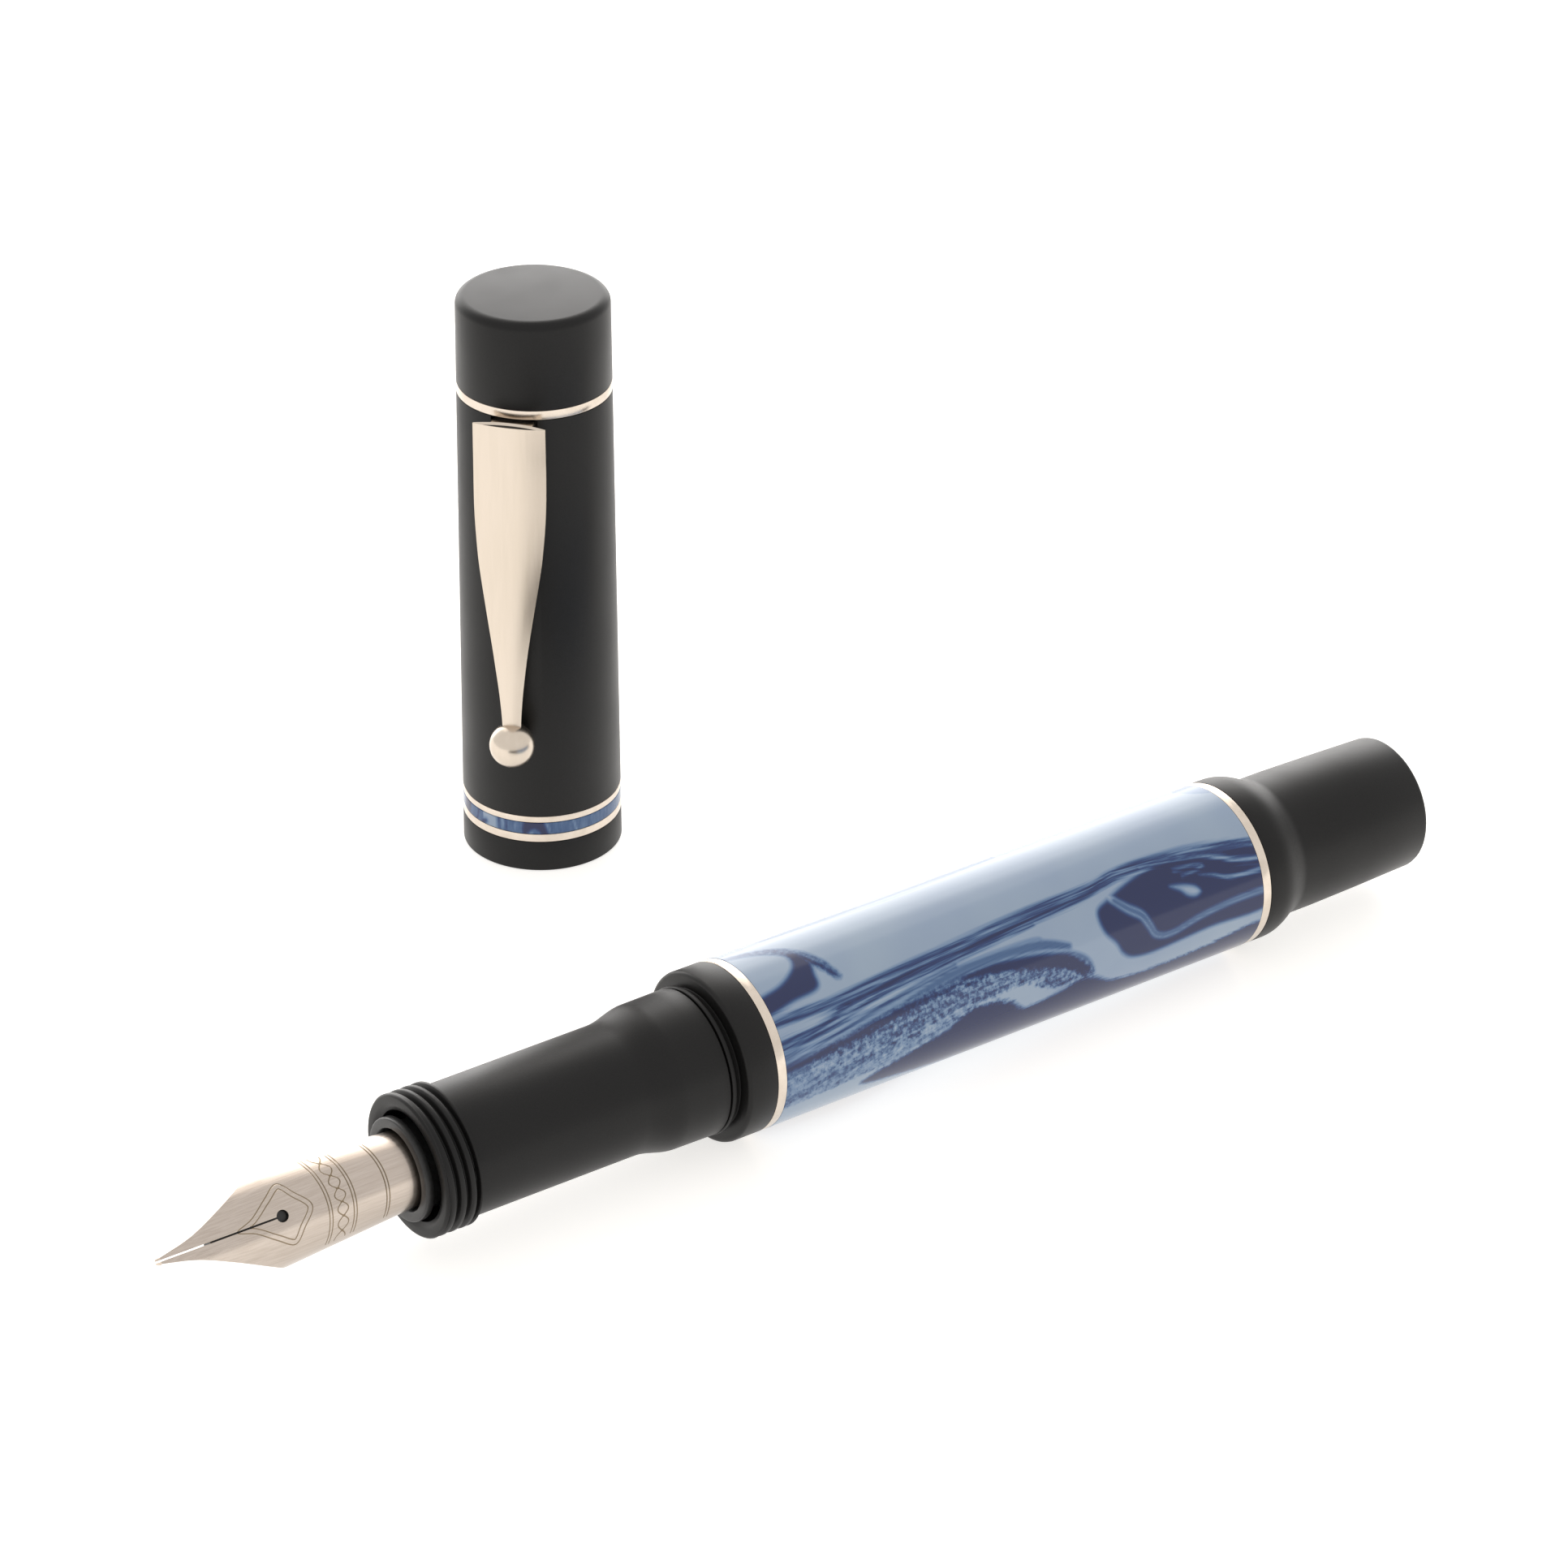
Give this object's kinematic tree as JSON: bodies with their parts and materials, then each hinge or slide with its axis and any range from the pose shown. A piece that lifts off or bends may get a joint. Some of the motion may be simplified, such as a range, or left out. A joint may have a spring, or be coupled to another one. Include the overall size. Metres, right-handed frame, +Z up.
{
  "type": "fountain pen",
  "caption": "Uncapped cartridge-and-converter fountain pen with a marbled straight barrel lying beside its upright cap with ball clip.",
  "frame": {"origin": "on the surface that the pen and cap stand on, under the middle of the box around both", "axes": "+X along the pen from nib to tail, +Y from the pen towards the standing cap, +Z up along the cap"},
  "size_m": [0.133, 0.0674, 0.0564],
  "materials": {
    "marbled_resin": "polished blue marbled resin",
    "black_resin": "satin black resin",
    "polished_trim": "polished nickel",
    "nib_steel": "polished steel with engraved lines",
    "tipping_alloy": "ground hard alloy",
    "feed_plastic": "moulded black ABS",
    "seal_rubber": "black silicone rubber",
    "clear_plastic": "clear polystyrene",
    "converter_metal": "plated brass tube",
    "liner_plastic": "moulded black plastic"
  },
  "bodies": {
    "barrel": {"barrel_tube": "marbled_resin", "front_trim_ring": "polished_trim", "rear_trim_ring": "polished_trim", "barrel_front_collar": "black_resin", "barrel_tail": "black_resin"},
    "section_seal": {"section_o_ring": "seal_rubber"},
    "section": {"grip_section": "black_resin"},
    "nib_holder": {"nib_housing": "feed_plastic"},
    "nib_unit": {"nib": "nib_steel", "feed": "feed_plastic", "nib_tip_left": "tipping_alloy", "nib_tip_right": "tipping_alloy"},
    "converter": {"converter_tube": "clear_plastic", "converter_sleeve": "converter_metal", "converter_guide_bush": "liner_plastic"},
    "converter_piston": {"piston_seal": "seal_rubber", "piston_rod": "liner_plastic"},
    "converter_knob": {"converter_knob": "liner_plastic"},
    "cap": {"cap_tube": "black_resin", "cap_lip": "black_resin", "cap_lower_ring": "polished_trim", "cap_marbled_band": "marbled_resin", "cap_upper_ring": "polished_trim", "crown_ring": "polished_trim", "cap_crown": "black_resin", "inner_cap": "liner_plastic"},
    "clip": {"clip": "polished_trim"}
  },
  "joints": [
    {"name": "section_travel", "type": "slide", "parent": "barrel", "child": "section_seal", "axis": [-1, 0, 0], "range_m": [0, 0.007]},
    {"name": "section_turn", "type": "hinge", "parent": "section_seal", "child": "section", "pos_m": [-0.01307, -0.02592, 0.00781], "axis": [-1, 0, 0], "range_deg": [0, 2520]},
    {"name": "nib_unit_travel", "type": "slide", "parent": "section", "child": "nib_holder", "axis": [-1, 0, 0], "range_m": [0, 0.004]},
    {"name": "nib_unit_turn", "type": "hinge", "parent": "nib_holder", "child": "nib_unit", "pos_m": [-0.04308, -0.02592, 0.00781], "axis": [-1, 0, 0], "range_deg": [0, 2880]},
    {"name": "converter_pull", "type": "slide", "parent": "section", "child": "converter", "axis": [1, 0, 0], "range_m": [0, 0.008]},
    {"name": "knob_turn", "type": "hinge", "parent": "converter", "child": "converter_knob", "pos_m": [0.04093, -0.02592, 0.00781], "axis": [-1, 0, 0], "range_deg": [0, 2880]},
    {"name": "piston_slide", "type": "slide", "parent": "converter", "child": "converter_piston", "axis": [1, 0, 0], "range_m": [0, 0.02]},
    {"name": "cap_lift", "type": "slide", "parent": "barrel", "child": "cap", "axis": [0, 0, 1], "range_m": [0, 0.06]},
    {"name": "clip_flex", "type": "hinge", "parent": "cap", "child": "clip", "pos_m": [0.00051, 0.02152, 0.0463], "axis": [-0.6587, 0.7524, 0], "range_deg": [0, 4], "stiffness_Nm_per_rad": 1}
  ],
  "couplings": [
    {"joint": "section_turn", "follows": "section_travel", "rad_per_m": 6283.2},
    {"joint": "nib_unit_turn", "follows": "nib_unit_travel", "rad_per_m": 12566},
    {"joint": "knob_turn", "follows": "piston_slide", "rad_per_m": 2513.3}
  ]
}
